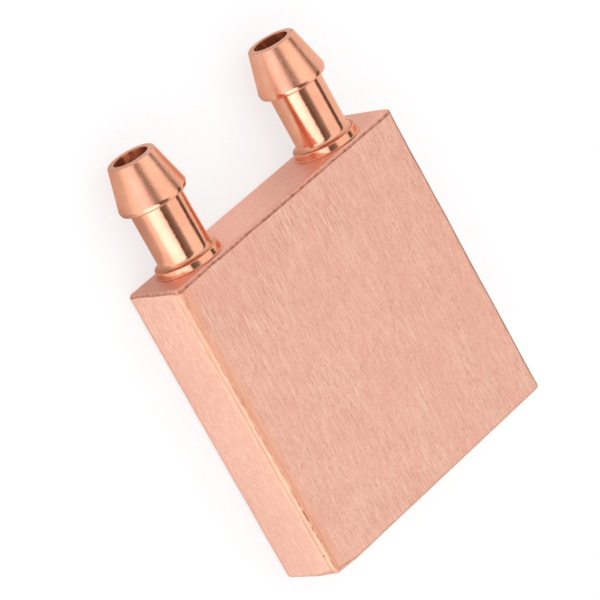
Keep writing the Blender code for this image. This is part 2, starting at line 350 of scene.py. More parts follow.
def make_slab():
    """The slab's outer skin: an even grid on each face, bent round the edges."""
    shape = bmesh.new()
    bmesh.ops.create_cube(shape, size=1.0)
    lines = [slab_stations(BODY_LOW[axis], BODY_HIGH[axis]) for axis in range(3)]
    for axis in range(3):
        along = []
        for edge in shape.edges:
            step = edge.verts[0].co - edge.verts[1].co
            if abs(step[axis]) > 0.5:
                along.append(edge)
        bmesh.ops.subdivide_edges(shape, edges=along, cuts=len(lines[axis]) - 2, use_grid_fill=True)
    skin = shape.verts.layers.float_vector.new("skin")
    for vert in shape.verts:
        point = Vector()
        for axis in range(3):
            count = len(lines[axis]) - 1
            point[axis] = lines[axis][round((vert.co[axis] + 0.5) * count)]
        radius = edge_rounding(point)
        inner = Vector(
            min(max(point[axis], BODY_LOW[axis] + radius), BODY_HIGH[axis] - radius)
            for axis in range(3)
        )
        outwards = (point - inner).normalized()
        vert.co = inner + outwards * radius
        vert[skin] = outwards
    bmesh.ops.recalc_face_normals(shape, faces=shape.faces)
    return shape


def rounded_outline(low, high, radius):
    """Outline points of a rectangle with round corners, anticlockwise."""
    corners = (
        (high.x - radius, high.y - radius, 0),
        (low.x + radius, high.y - radius, 90),
        (low.x + radius, low.y + radius, 180),
        (high.x - radius, low.y + radius, 270),
    )
    points = []
    for x, y, start in corners:
        for step in range(HOLLOW_CORNER_STEPS + 1):
            angle = math.radians(start + 90 * step / HOLLOW_CORNER_STEPS)
            points.append(Vector((x + radius * math.cos(angle), y + radius * math.sin(angle))))
    return points


def prism(outline, low, high):
    """A solid with a flat outline, from one height to another."""
    shape = bmesh.new()
    corners = [shape.verts.new((point.x, point.y, low)) for point in outline]
    floor = shape.faces.new(corners)
    raised = bmesh.ops.extrude_face_region(shape, geom=[floor], use_keep_orig=True)
    top = [part for part in raised["geom"] if isinstance(part, bmesh.types.BMVert)]
    bmesh.ops.translate(shape, verts=top, vec=(0, 0, high - low))
    bmesh.ops.recalc_face_normals(shape, faces=shape.faces)
    return shape


def port_cutter(place, radius, depth):
    """A round cutter that runs from outside the barbs' face to a depth inside it."""
    shape = bmesh.new()
    bmesh.ops.create_cone(
        shape,
        cap_ends=True,
        segments=BARB_TURN_STEPS // 2,
        radius1=radius,
        radius2=radius,
        depth=depth + CUT_OVERRUN,
    )
    bmesh.ops.rotate(shape, verts=shape.verts, matrix=Matrix.Rotation(math.radians(90), 3, "X"))
    bmesh.ops.translate(shape, verts=shape.verts, vec=(0, (CUT_OVERRUN - depth) / 2, 0))
    bmesh.ops.translate(shape, verts=shape.verts, vec=place)
    return shape


def cut(piece, cutter_shape):
    """Cuts one closed shape out of a piece and applies the result."""
    mesh = bpy.data.meshes.new("cutter")
    cutter_shape.to_mesh(mesh)
    cutter_shape.free()
    cutter = bpy.data.objects.new("cutter", mesh)
    bpy.context.scene.collection.objects.link(cutter)
    step = piece.modifiers.new("cut", "BOOLEAN")
    step.operation = "DIFFERENCE"
    step.solver = "EXACT"
    step.object = cutter
    graph = bpy.context.evaluated_depsgraph_get()
    result = bpy.data.meshes.new_from_object(piece.evaluated_get(graph))
    piece.modifiers.clear()
    old = piece.data
    piece.data = result
    bpy.data.meshes.remove(old)
    bpy.data.objects.remove(cutter)
    bpy.data.meshes.remove(mesh)


def weld(piece):
    """Joins points that the cuts have left almost on top of each other."""
    shape = bmesh.new()
    shape.from_mesh(piece.data)
    bmesh.ops.remove_doubles(shape, verts=shape.verts, dist=WELD_DISTANCE)
    shape.to_mesh(piece.data)
    shape.free()
    shade_corners(piece.data)


def make_body(material):
    """The milled slab with its chamber, the plate's rebate and both ports."""
    piece = finish_piece("milled_body", make_slab(), material, "block_body")
    plate_low, plate_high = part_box("plate_braze_seam")
    wall = BODY_LOW.x + SIDE_WALL - plate_low.x
    margin = Vector((wall, wall, 0))
    chamber = rounded_outline(plate_low + margin, plate_high - margin, CHAMBER_CORNER)
    rebate = rounded_outline(plate_low, plate_high, REBATE_CORNER)
    cut(piece, prism(chamber, -CUT_OVERRUN, BODY_HIGH.z - COVER_THICKNESS))
    cut(piece, prism(rebate, -CUT_OVERRUN, plate_high.z))
    port_depth = BODY_HIGH.y - (plate_high.y - margin.y) + CUT_OVERRUN
    for side in ("inlet", "outlet"):
        place = barb_place(side)
        cut(piece, port_cutter(place, SPIGOT_RADIUS + PORT_CLEARANCE, SPIGOT_LENGTH + PORT_CLEARANCE))
        cut(piece, port_cutter(place, BORE_RADIUS, port_depth))
    weld(piece)


def round_corner(before, corner, after, radius):
    """Points of the arc that rounds one corner of a profile."""
    to_before = (before - corner).normalized()
    to_after = (after - corner).normalized()
    half_angle = to_before.angle(to_after) / 2
    reach = radius / math.tan(half_angle)
    centre = corner + (to_before + to_after).normalized() * radius / math.sin(half_angle)
    start = corner + to_before * reach - centre
    end = corner + to_after * reach - centre
    sweep = start.angle_signed(end)
    steps = max(2, math.ceil(abs(sweep) / BARB_ARC_STEP))
    return [centre + Matrix.Rotation(-sweep * step / steps, 2) @ start for step in range(steps + 1)]


def add_support(points):
    """Adds a point near each end of a profile's long stretches, so that they're shaded straight."""
    supported = []
    for here, after in zip(points, points[1:] + points[:1]):
        supported.append(here)
        span = after - here
        if span.length > LONG_STRETCH:
            supported.append(here + span.normalized() * SUPPORT_DISTANCE)
            supported.append(after - span.normalized() * SUPPORT_DISTANCE)
    return supported


def barb_profile():
    """Half section of a hose barb, from its spigot out to its tip and back down the bore."""
    corners = (
        (BORE_RADIUS, -SPIGOT_LENGTH, 0),
        (SPIGOT_RADIUS, -SPIGOT_LENGTH, SPIGOT_ROUNDING),
        (SPIGOT_RADIUS, 0, 0),
        (COLLAR_FOOT_RADIUS, 0, 0),
        (COLLAR_RADIUS, COLLAR_HEIGHT, COLLAR_ROUNDING),
        (NECK_RADIUS, COLLAR_HEIGHT, NECK_FILLET),
        (NECK_RADIUS, UNDERSIDE_START, UNDERSIDE_FILLET),
        (LAND_RADIUS, CONE_START - LAND_HEIGHT, LAND_ROUNDING),
        (CONE_RADIUS, CONE_START, CONE_ROUNDING),
        (TIP_RADIUS, TIP_HEIGHT, TIP_ROUNDING),
        (BORE_RADIUS, TIP_HEIGHT, BORE_MOUTH_ROUNDING),
    )
    places = [Vector((radius, height)) for radius, height, _ in corners]
    points = []
    for index, (_, _, rounding) in enumerate(corners):
        if rounding:
            after = places[(index + 1) % len(places)]
            points.extend(round_corner(places[index - 1], places[index], after, rounding))
        else:
            points.append(places[index])
    return add_support(points)


def turn_profile(profile, place):
    """Turns a closed profile of radius and height about a barb's axis."""
    shape = bmesh.new()
    corners = [shape.verts.new((point.x, point.y, 0)) for point in profile]
    edges = [shape.edges.new((a, b)) for a, b in zip(corners, corners[1:] + corners[:1])]
    bmesh.ops.spin(
        shape,
        geom=corners + edges,
        cent=(0, 0, 0),
        axis=(0, 1, 0),
        angle=math.tau,
        steps=BARB_TURN_STEPS,
        use_merge=True,
    )
    bmesh.ops.recalc_face_normals(shape, faces=shape.faces)
    bmesh.ops.translate(shape, verts=shape.verts, vec=place)
    return shape


def make_barb(side, material):
    """A turned hose barb, with its bore and rim marked for the finish, the bore's wall marked for painted
    light on one side, and the collar groove marked for painted shade.
    """
    place = barb_place(side)
    shape = turn_profile(barb_profile(), place)
    bore = shape.verts.layers.float.new("bore")
    rim = shape.verts.layers.float.new("rim")
    groove = shape.verts.layers.float.new("groove")
    lit_side = shape.verts.layers.float.new("lit_side")
    for vert in shape.verts:
        out = vert.co - place
        radius = Vector((out.x, out.z)).length
        above = out.y - COLLAR_HEIGHT
        # Share of painted light on the bore's wall, highest on the side that faces BORE_LIT_TURN
        vert[lit_side] = max(0.0, math.cos(math.atan2(out.x, out.z) - BORE_LIT_TURN)) ** 2
        vert[bore] = float(radius < BORE_RADIUS + BORE_MOUTH_ROUNDING / 4)
        vert[rim] = float(out.y > TIP_HEIGHT - BORE_MOUTH_ROUNDING / 2 and not vert[bore])
        # Share of painted shade in the groove between the collar and the neck
        in_groove = NECK_RADIUS - GROOVE_INSET < radius < COLLAR_RADIUS - COLLAR_ROUNDING / 2
        vert[groove] = float(in_groove) * max(0.0, 1 - abs(above) / GROOVE_HEIGHT)
    finish_piece(side + "_hose_barb", shape, material, side + "_barb")


def braze_profile():
    """Half section of the hollow fillet of braze between a collar and the body's face."""
    points = [Vector((COLLAR_RADIUS, 0)), Vector((COLLAR_FOOT_RADIUS + BRAZE_SPREAD, 0))]
    for step in range(1, BRAZE_ARC_STEPS):
        angle = math.radians(90 * step / BRAZE_ARC_STEPS)
        out = BRAZE_SPREAD * (1 - math.sin(angle))
        up = BRAZE_HEIGHT * (1 - math.cos(angle))
        points.append(Vector((COLLAR_FOOT_RADIUS + out, up)))
    points.append(Vector((COLLAR_RADIUS, BRAZE_HEIGHT)))
    return points


def make_braze(side, material):
    """The ring of braze at a collar's foot, which flowed out unevenly, with painted shadow along its foot
    that is strongest on one side.
    """
    place = barb_place(side)
    shape = turn_profile(braze_profile(), place)
    foot = shape.verts.layers.float.new("foot")
    for vert in shape.verts:
        out = vert.co - place
        reach = Vector((out.x, 0, out.z))
        spread = reach.length - COLLAR_FOOT_RADIUS
        turn = math.atan2(out.x, out.z)
        # Share of painted shadow at the foot: strongest on one side, faint all round
        shadow_side = max(0.0, math.cos((turn - BRAZE_SHADOW_TURN) / BRAZE_SHADOW_WIDTH))
        strength = BRAZE_FAINTEST_SHADOW + (1 - BRAZE_FAINTEST_SHADOW) * shadow_side
        vert[foot] = max(0, spread / BRAZE_SPREAD) * strength
        if spread > 0:
            wave = noise.noise(Vector((vert.co.x, vert.co.z, place.x)) / MM * BRAZE_WAVES_PER_MM)
            shrink = BRAZE_WOBBLE * (1 - wave) + BRAZE_SHADOW_SIDE_SHRINK * shadow_side
            vert.co -= reach.normalized() * spread * shrink
    finish_piece(side + "_braze", shape, material, side + "_braze_ring")


# Materials


def combine(tree, operation, first, second):
    """A Math node on two numbers or sockets."""
    made = tree.nodes.new("ShaderNodeMath")
    made.operation = operation
    for socket, value in zip(made.inputs, (first, second)):
        if isinstance(value, (int, float)):
            socket.default_value = value
        else:
            tree.links.new(value, socket)
    return made.outputs["Value"]


class Finish:
    """A metal's node tree, with short calls for the nodes that the finishes share."""

    def __init__(self, name, colour, roughness, anisotropy=0.0):
        """Starts a metal with one colour and one roughness, which noise then varies."""
        self.material = bpy.data.materials.new(name)
        self.material.use_nodes = True
        self.tree = self.material.node_tree
        self.shader = self.tree.nodes["Principled BSDF"]
        self.shader.inputs["Base Color"].default_value = (*colour, 1)
        self.shader.inputs["Metallic"].default_value = 1.0
        self.shader.inputs["Roughness"].default_value = roughness
        self.shader.inputs["Anisotropic"].default_value = anisotropy
        self.place = self.node("ShaderNodeTexCoord").outputs["Object"]

    def node(self, kind, **settings):
        """A new node with its settings."""
        made = self.tree.nodes.new(kind)
        for key, value in settings.items():
            setattr(made, key, value)
        return made

    def link(self, source, target):
        """Joins an output to an input."""
        self.tree.links.new(source, target)

    def turned(self, turn):
        """The object's coordinates, turned about its axes."""
        made = self.node("ShaderNodeMapping")
        made.inputs["Rotation"].default_value = turn
        self.link(self.place, made.inputs["Vector"])
        return made.outputs["Vector"]

    def mapped(self, scale, source=None):
        """Coordinates with a scale along each axis."""
        made = self.node("ShaderNodeVectorMath", operation="MULTIPLY")
        made.inputs[1].default_value = scale
        self.link(source or self.place, made.inputs[0])
        return made.outputs["Vector"]

    def blend(self, share, first, second):
        """A mix of two vectors by a share from 0 to 1."""
        made = self.node("ShaderNodeMix", data_type="VECTOR")
        self.link(share, made.inputs[0])
        self.link(first, made.inputs[4])
        self.link(second, made.inputs[5])
        return made.outputs[1]

    def between(self, share, first, second):
        """A mix of two values by a share from 0 to 1."""
        made = self.node("ShaderNodeMix", data_type="FLOAT")
        self.link(share, made.inputs["Factor"])
        self.link(first, made.inputs["A"])
        self.link(second, made.inputs["B"])
        return made.outputs["Result"]

    def mix(self, share, first, second):
        """A mix of two colours by a share from 0 to 1."""
        made = self.node("ShaderNodeMix", data_type="RGBA")
        self.link(share, made.inputs["Factor"])
        for socket, value in ((made.inputs["A"], first), (made.inputs["B"], second)):
            if isinstance(value, tuple):
                socket.default_value = (*value, 1)
            else:
                self.link(value, socket)
        return made.outputs["Result"]

    def attribute(self, name):
        """The outputs of an attribute that a piece's vertices carry."""
        return self.node("ShaderNodeAttribute", attribute_type="GEOMETRY", attribute_name=name).outputs

    def split(self, vector):
        """The three parts of a vector, by the names X, Y and Z."""
        made = self.node("ShaderNodeSeparateXYZ")
        self.link(vector, made.inputs["Vector"])
        return made.outputs

    def near(self, centre, radius, soft):
        """1 within a radius of a point, falling to 0 over a soft rim."""
        made = self.node("ShaderNodeVectorMath", operation="DISTANCE")
        made.inputs[1].default_value = centre
        self.link(self.place, made.inputs[0])
        return self.remap(made.outputs["Value"], radius, radius + soft, 1, 0)

    def noise(self, vector, detail=3, roughness=0.55):
        """Soft noise on coordinates whose scale is already set."""
        made = self.node("ShaderNodeTexNoise")
        made.inputs["Scale"].default_value = 1.0
        made.inputs["Detail"].default_value = detail
        made.inputs["Roughness"].default_value = roughness
        self.link(vector, made.inputs["Vector"])
        return made.outputs["Fac"]

    def remap(self, source, low, high, to_low, to_high, smooth=True):
        """Carries a value from one range to another and holds it there."""
        made = self.node("ShaderNodeMapRange")
        made.interpolation_type = "SMOOTHSTEP" if smooth else "LINEAR"
        made.inputs["From Min"].default_value = low
        made.inputs["From Max"].default_value = high
        made.inputs["To Min"].default_value = to_low
        made.inputs["To Max"].default_value = to_high
        self.link(source, made.inputs["Value"])
        return made.outputs["Result"]

    def absolute(self, value):
        """A value without its sign."""
        return combine(self.tree, "ABSOLUTE", value, 0)

    def minus(self, first, second):
        """One value less another."""
        return combine(self.tree, "SUBTRACT", first, second)

    def plus(self, *values):
        """The sum of several values."""
        total = values[0]
        for value in values[1:]:
            total = combine(self.tree, "ADD", total, value)
        return total

    def times(self, *values):
        """The product of several values."""
        product = values[0]
        for value in values[1:]:
            product = combine(self.tree, "MULTIPLY", product, value)
        return product

    def most(self, *values):
        """The largest of several values."""
        largest = values[0]
        for value in values[1:]:
            largest = combine(self.tree, "MAXIMUM", largest, value)
        return largest

    def bump(self, height, distance):
        """The surface's direction, tilted by a relief."""
        made = self.node("ShaderNodeBump")
        made.inputs["Distance"].default_value = distance
        made.inputs["Strength"].default_value = 1.0
        self.link(height, made.inputs["Height"])
        return made.outputs["Normal"]

    def finish(self, colour, roughness, normal):
        """Joins the finish's outputs to the shader and hands over the material."""
        self.link(colour, self.shader.inputs["Base Color"])
        self.link(roughness, self.shader.inputs["Roughness"])
        self.link(normal, self.shader.inputs["Normal"])
        return self.material


def rubbed_strokes(look, axes, on_end):
    """Shares of light and dark strokes along the barbs' direction, and the long strokes' noise."""
    long_marks = look.blend(
        on_end,
        look.mapped(LONG_STROKES),
        look.mapped(END_LONG_STROKES, look.turned(END_LONG_TURN)),
    )
    short_marks = look.blend(
        on_end,
        look.mapped(SHORT_STROKES, look.turned(SHORT_TURN)),
        look.mapped(END_SHORT_STROKES, look.turned(END_SHORT_TURN)),
    )
    long_noise = look.noise(long_marks, detail=2, roughness=0.5)
    short_noise = look.noise(short_marks, detail=2, roughness=0.5)
    long_light = look.remap(long_noise, 0.555, 0.64, 0, 1)
    long_dark = look.remap(long_noise, 0.43, 0.32, 0, 1)
    short_light = look.remap(short_noise, 0.55, 0.65, 0, 1)
    short_dark = look.remap(short_noise, 0.44, 0.32, 0, 1)
    patches = look.remap(look.noise(look.mapped(STROKE_PATCHES), detail=2), 0.36, 0.62, 0.5, 1)
    calmer_ends = look.remap(on_end, 0, 1, 1, 0.45, smooth=False)
    denser_near_barbs = look.remap(axes["Y"], 2 * MM, 14 * MM, 0.8, 1)
    drawn = look.times(patches, calmer_ends, denser_near_barbs)
    light = look.times(look.most(long_light, short_light), drawn)
    dark = look.times(look.most(long_dark, short_dark), drawn)
    return light, dark, long_noise


def rubbed_tone(look, skin, axes, on_end, mottle, light, dark):
    """The rubbed faces' colour: clouds, mottle, a flush beside the first barb, strokes and scratches, a
    tone on the barbs' face and the one opposite that is partly painted shade, and painted shade on the
    left side.
    """
    cloud = look.noise(look.mapped(SATIN_CLOUDS), roughness=0.5)
    tone = look.mix(look.remap(cloud, 0.36, 0.62, 0, 1), SATIN_PINK, SATIN_MID)
    # The barbs' face and the one opposite: own tone and partly painted shade
    tone = look.mix(look.times(on_end, 0.8), tone, END_TONE_AND_SHADE)
    tone = look.mix(look.remap(mottle, 0.52, 0.74, 0, 0.75), tone, SATIN_LIGHT)
    tone = look.mix(look.remap(mottle, 0.48, 0.26, 0, 0.75), tone, SATIN_DEEP)
    near_barbs = look.remap(axes["Y"], 4 * MM, 18 * MM, 0, 0.35)
    near_inlet = look.remap(axes["X"], 14 * MM, -14 * MM, 0.35, 1)
    tone = look.mix(look.times(near_barbs, near_inlet), tone, SATIN_FLUSH)
    colour = look.mix(look.times(light, 0.85), tone, SATIN_LIGHT)
    colour = look.mix(look.times(dark, 0.5), colour, SATIN_DEEP)
    scratch_noise = look.noise(look.mapped(SCRATCHES, look.turned(SCRATCH_TURN)), detail=1)
    off_ends = look.remap(on_end, 0, 1, 1, 0)
    scratches = look.times(look.remap(scratch_noise, 0.68, 0.74, 0, 0.9), off_ends)
    colour = look.mix(scratches, colour, SATIN_LIGHT)
    # Painted shade on the left side
    return look.mix(look.remap(skin["X"], -0.8, -0.95, 0, 0.3), colour, SIDE_SHADE)


def narrow_side_marks(look, colour, skin, axes, long_noise, breaks):
    """Adds pale marks and worn spots to the left side, and a band of painted orange reflection on the
    front beside it.
    """
    near_front = look.remap(axes["Z"], 7.4 * MM, 9.0 * MM, 0, 0.8)
    faces_left = look.remap(skin["X"], -0.7, -0.9, 0, 1)
    pale_marks = look.times(near_front, faces_left, look.remap(long_noise, 0.42, 0.62, 0, 1))
    colour = look.mix(pale_marks, colour, PALE_COPPER)
    left_side = look.remap(skin["X"], -0.8, -0.95, 0, 1)
    worn_spots = look.times(look.remap(breaks, 0.52, 0.68, 0, 0.14), left_side)
    colour = look.mix(worn_spots, colour, SATIN_DEEP)
    light_spots = look.times(look.remap(breaks, 0.47, 0.33, 0, 0.25), left_side)
    colour = look.mix(light_spots, colour, SATIN_LIGHT)
    # Painted orange reflection on the front, beside the long edge
    near_edge = look.remap(axes["X"], BODY_LOW.x + 2.1 * MM, BODY_LOW.x + 0.9 * MM, 0, 0.5)
    orange_reflection_band = look.times(near_edge, look.remap(skin["Z"], 0.90, 0.97, 0, 1))
    return look.mix(orange_reflection_band, colour, PAINTED_ORANGE_REFLECTION)


def dark_edge_line_share(look, skin, axes, flatness, breaks):
    """Share of dark lines along the edges, broken up, and strongest round the barbs' face; the one along
    the right edge is painted dark reflection.
    """
    hairline = look.times(
        look.remap(flatness, 0.995, 0.95, 0, 1),
        look.remap(flatness, 0.72, 0.80, 0.1, 1),
        look.remap(skin["Y"], 0.03, 0.1, 1, 0),
        look.remap(skin["Y"], -0.1, -0.03, 0.5, 1),
    )
    wavering = look.plus(skin["Y"], look.remap(breaks, 0.3, 0.7, -0.08, 0.08, smooth=False))
    barb_line = look.times(look.remap(wavering, 0.85, 0.24, 0, 1), look.remap(skin["Y"], 0.03, 0.1, 0, 1))
    # Painted dark reflection along the right edge, stronger towards the barbs
    right_edge_dark_reflection = look.times(
        look.remap(skin["X"], 0.15, 0.4, 0, 1),
        look.remap(skin["Z"], 0.2, 0.4, 0, 1),
        look.remap(axes["Y"], 0, 15 * MM, 0.6, 1),
    )
    under_line = look.times(
        look.remap(skin["Z"], -0.1, -0.28, 0, 0.6),
        look.remap(skin["Y"], 0.5, 0.7, 0, 1),
    )
    lines = look.most(hairline, barb_line, right_edge_dark_reflection, under_line)
    return look.times(lines, look.remap(breaks, 0.36, 0.56, 0.9, 0.62))


def dark_marks(look, skin, axes, long_edge, edge_line):
    """Share of dark marks: a painted shade line low on the long edge, dashes along its upper side, and
    nicks.
    """
    # Painted shade line along the lower part of the long edge
    rim_shade_line = look.times(look.remap(skin["Z"], -0.40, -0.52, 0, 0.9), long_edge)
    off_nick = look.absolute(look.minus(axes["Y"], NICKED_PLACE))
    strength = look.remap(off_nick, 1.5 * MM, 4.5 * MM, 0.85, 0.32)
    dashes = look.remap(look.noise(look.mapped(EDGE_DASHES)), 0.42, 0.58, 0, 1)
    marks = look.most(rim_shade_line, look.times(edge_line, dashes, long_edge, strength))
    for centre, radius in NICKS:
        nick = look.near(Vector(centre) * MM, radius * MM, NICK_SOFTNESS)
        marks = look.most(marks, look.times(nick, NICK_DARKNESS))
    return marks


def long_edge_tone(look, skin, long_noise, edge_line):
    """The long edge's colour, from the underside round to the front: painted shade broken up by streaks,
    a painted highlight band, painted shade on its underside part, a painted orange reflection band near
    the front and a painted dark band.
    """
    tone = look.mix(look.remap(long_noise, 0.36, 0.60, 0, 1), EDGE_PAINTED_SHADE, EDGE_PAINTED_HIGHLIGHT)
    tone = look.mix(look.remap(skin["Z"], 0.34, 0.54, 0, 0.8), tone, EDGE_PAINTED_HIGHLIGHT)
    tone = look.mix(look.remap(skin["Z"], -0.03, -0.2, 0, 1), tone, LOW_EDGE_PAINTED_SHADE)
    tone = look.mix(look.remap(skin["Z"], 0.74, 0.87, 0, 1), tone, PAINTED_ORANGE_REFLECTION)
    return look.mix(look.times(edge_line, 0.35), tone, EDGE_PAINTED_DARK_BAND)


def satin_copper():
    """Bare copper rubbed along the barbs' direction, with painted highlight, shade and reflection bands
    on its long edge, and dark lines and nicks along the edges.
    """
    look = Finish("satin_copper", SATIN_MID, SATIN_ROUGHNESS, SATIN_ANISOTROPY)
    tangent = look.node("ShaderNodeTangent", direction_type="RADIAL", axis="Y")
    look.link(tangent.outputs["Tangent"], look.shader.inputs["Tangent"])
    axes = look.split(look.place)
    skin = look.split(look.attribute("skin")["Vector"])
    size_y = look.absolute(skin["Y"])
    flatness = look.most(look.absolute(skin["X"]), size_y, look.absolute(skin["Z"]))
    on_end = look.remap(size_y, 0.2, 0.32, 0, 1)
    mottle = look.noise(look.mapped(SATIN_MOTTLE), roughness=0.7)
    breaks = look.noise(look.mapped(WORN_BREAKS))
    light, dark, long_noise = rubbed_strokes(look, axes, on_end)
    colour = rubbed_tone(look, skin, axes, on_end, mottle, light, dark)
    colour = narrow_side_marks(look, colour, skin, axes, long_noise, breaks)

    # The long edge's rounding, where the left side meets the front and the underside: painted highlight,
    # shade and reflection bands, and a smoother polish
    left = look.remap(skin["X"], -0.04, -0.16, 0, 1)
    along = look.remap(size_y, 0.10, 0.28, 1, 0)
    long_edge = look.times(left, along, look.remap(flatness, 0.965, 0.999, 1, 0))
    edge_line = look.times(
        look.remap(skin["Z"], 0.60, 0.72, 0, 1),
        look.remap(skin["Z"], 0.89, 0.80, 0, 1),
    )
    # Dark lines along the edges and the dark marks: partly painted shade and dark reflection, and the
    # nicks
    edge_darkening = look.times(dark_edge_line_share(look, skin, axes, flatness, breaks), look.minus(1, long_edge))
    darkening = look.most(edge_darkening, dark_marks(look, skin, axes, long_edge, edge_line))
    # Painted shade low on the left side, near the floor
    lower_band = look.times(look.remap(axes["Z"], 0.95 * MM, 0.35 * MM, 0, 0.4), left)
    colour = look.mix(lower_band, colour, LOW_EDGE_PAINTED_SHADE)
    edge_tone = long_edge_tone(look, skin, long_noise, edge_line)
    # Painted bands across the long edge
    colour = look.mix(look.times(long_edge, 0.85), colour, edge_tone)
    colour = look.mix(darkening, colour, DARK_LINES_AND_NICKS)

    satin = look.remap(mottle, 0.3, 0.7, 0.42, 0.52)
    shine = look.remap(breaks, 0.3, 0.7, 0.34, 0.44)
    shiny = look.times(long_edge, look.remap(skin["Z"], 0.84, 0.94, 1, 0))
    rough = look.between(shiny, satin, shine)
    normal = look.bump(look.minus(light, dark), STROKE_RELIEF)
    return look.finish(colour, rough, normal)


def turned_copper():
    """Turned copper, polished on the neck and satin on the cone, with painted light and shade in the bore
    and painted shade in the collar groove.
    """
    look = Finish("turned_copper", TURNED_MID, TURNED_ROUGHNESS)
    look.shader.inputs["Specular Tint"].default_value = (*TURNED_TINT, 1)
    axes = look.split(look.place)
    rings = look.noise(look.mapped(TURNING_RINGS))
    skin_noise = look.noise(look.mapped(TURNED_SKIN), roughness=0.6)
    cloud = look.noise(look.mapped(TURNED_CLOUDS), detail=2)
    cone_start = BODY_HIGH.y + CONE_START
    collar_top = BODY_HIGH.y + COLLAR_HEIGHT
    on_cone = look.remap(axes["Y"], cone_start, cone_start + 0.2 * MM, 0, 1)
    on_collar = look.remap(axes["Y"], collar_top, collar_top - 0.1 * COLLAR_HEIGHT, 0, 0.9)
    in_bore = look.attribute("bore")["Fac"]

    colour = look.mix(look.remap(cloud, 0.35, 0.65, 0, 1), TURNED_DEEP, TURNED_MID)
    speckle = look.times(look.remap(skin_noise, 0.45, 0.62, 0, 0.12), on_cone)
    colour = look.mix(speckle, colour, SATIN_DEEP)
    colour = look.mix(on_collar, colour, TURNED_DEEP)
    # Painted shade in the collar groove
    colour = look.mix(look.times(look.attribute("groove")["Fac"], 0.8), colour, GROOVE_SHADE)
    colour = look.mix(look.times(look.attribute("rim")["Fac"], 0.8), colour, RIM_COPPER)
    # Painted light and shade in the bore: lit on one side, shaded round the rest, broken up by spots
    spots = look.noise(look.mapped(BORE_SPOTS), detail=2)
    bright = look.times(look.remap(spots, 0.42, 0.56, 0.2, 1), look.attribute("lit_side")["Fac"])
    colour = look.mix(in_bore, colour, look.mix(bright, BORE_SHADE, BORE_LIT))

    polish = look.remap(skin_noise, 0.3, 0.7, 0.09, 0.15)
    rough = look.plus(polish, look.times(on_cone, 0.15), look.times(in_bore, 0.42))
    fine = look.plus(look.times(rings, 0.35), look.times(skin_noise, 0.65))
    fine = look.times(fine, look.remap(on_cone, 0, 1, 1.6, 1, smooth=False))
    return look.finish(colour, rough, look.bump(fine, TURNED_RELIEF))


def brazed_copper():
    """Braze that has set smooth, with a painted shadow line at its foot."""
    look = Finish("brazed_copper", BRAZE_MID, BRAZE_ROUGHNESS)
    blobs = look.noise(look.mapped(BRAZE_BLOBS), detail=2)
    foot = look.attribute("foot")["Fac"]
    colour = look.mix(look.remap(blobs, 0.35, 0.65, 0, 1), BRAZE_DEEP, BRAZE_LIGHT)
    # Painted shadow along the foot
    colour = look.mix(look.remap(foot, 0.15, 0.6, 0, 0.9), colour, BRAZE_FOOT_SHADOW)
    rough = look.plus(look.remap(blobs, 0.3, 0.7, 0.22, 0.36), look.times(foot, 0.3))
    return look.finish(colour, rough, look.bump(blobs, BRAZE_RELIEF))


def plate_copper():
    """The plate's lapped face, with fine crossed scratches."""
    look = Finish("plate_copper", PLATE_MID, PLATE_ROUGHNESS)
    one_way = look.noise(look.mapped(LAP_ONE_WAY, look.turned(LAP_ONE_TURN)))
    other_way = look.noise(look.mapped(LAP_OTHER_WAY, look.turned(LAP_OTHER_TURN)))
    lap = look.times(look.plus(one_way, other_way), 0.5)
    colour = look.mix(look.remap(lap, 0.4, 0.6, 0, 1), PLATE_DEEP, PLATE_LIGHT)
    rough = look.remap(lap, 0.35, 0.65, 0.24, 0.36)
    return look.finish(colour, rough, look.bump(lap, LAP_RELIEF))


# Studio


def ring_direction(turn, slope):
    """A direction turned from straight up towards +X, and sloped towards +Y."""
    flat = math.sqrt(1 - slope ** 2)
    angle = math.radians(turn)
    return Vector((flat * math.sin(angle), slope, flat * math.cos(angle)))


def sheet(places):
    """A four-cornered sheet whose UV map runs across and up it."""
    shape = bmesh.new()
    face = shape.faces.new([shape.verts.new(place) for place in places])
    uv = shape.loops.layers.uv.new("panel")
    for loop, corner in zip(face.loops, ((0, 0), (1, 0), (1, 1), (0, 1))):
        loop[uv].uv = corner
    return shape


def stage_piece(name, shape, material, seen=False):
    """Turns a bmesh into a part of the studio, which the camera sees or doesn't."""
    mesh = bpy.data.meshes.new(name)
    shape.to_mesh(mesh)
    shape.free()
    mesh.materials.append(material)
    made = bpy.data.objects.new(name, mesh)
    bpy.context.scene.collection.objects.link(made)
    made.visible_camera = seen
    return made


def panel(name, corners, material):
    """A studio panel that faces the block, from four directions given as turn and slope."""
    shape = sheet([BLOCK_MIDDLE + ring_direction(*corner) * PANEL_DISTANCE for corner in corners])
    bmesh.ops.subdivide_edges(shape, edges=shape.edges[:], cuts=PANEL_CUTS, use_grid_fill=True)
    for vert in shape.verts:
        vert.co = BLOCK_MIDDLE + (vert.co - BLOCK_MIDDLE).normalized() * PANEL_DISTANCE
    return stage_piece(name, shape, material)


def only_reflected(made):
    """Leaves a panel visible in reflections alone."""
    made.visible_diffuse = False
    made.visible_shadow = False
    made.visible_transmission = False


def net(name, corners, across):
    """A dark net that shows only in reflections."""
    only_reflected(panel(name, corners, net_material(name, NET_SHADE, across, EVEN)))


def floor_card(name, low, high, material):
    """A card on the floor, from one corner to the other, that shows only in reflections."""
    corners = ((low[0], low[1]), (high[0], low[1]), (high[0], high[1]), (low[0], high[1]))
    shape = sheet([Vector((x, y, low[2])) * MM for x, y in corners])
    only_reflected(stage_piece(name, shape, material))


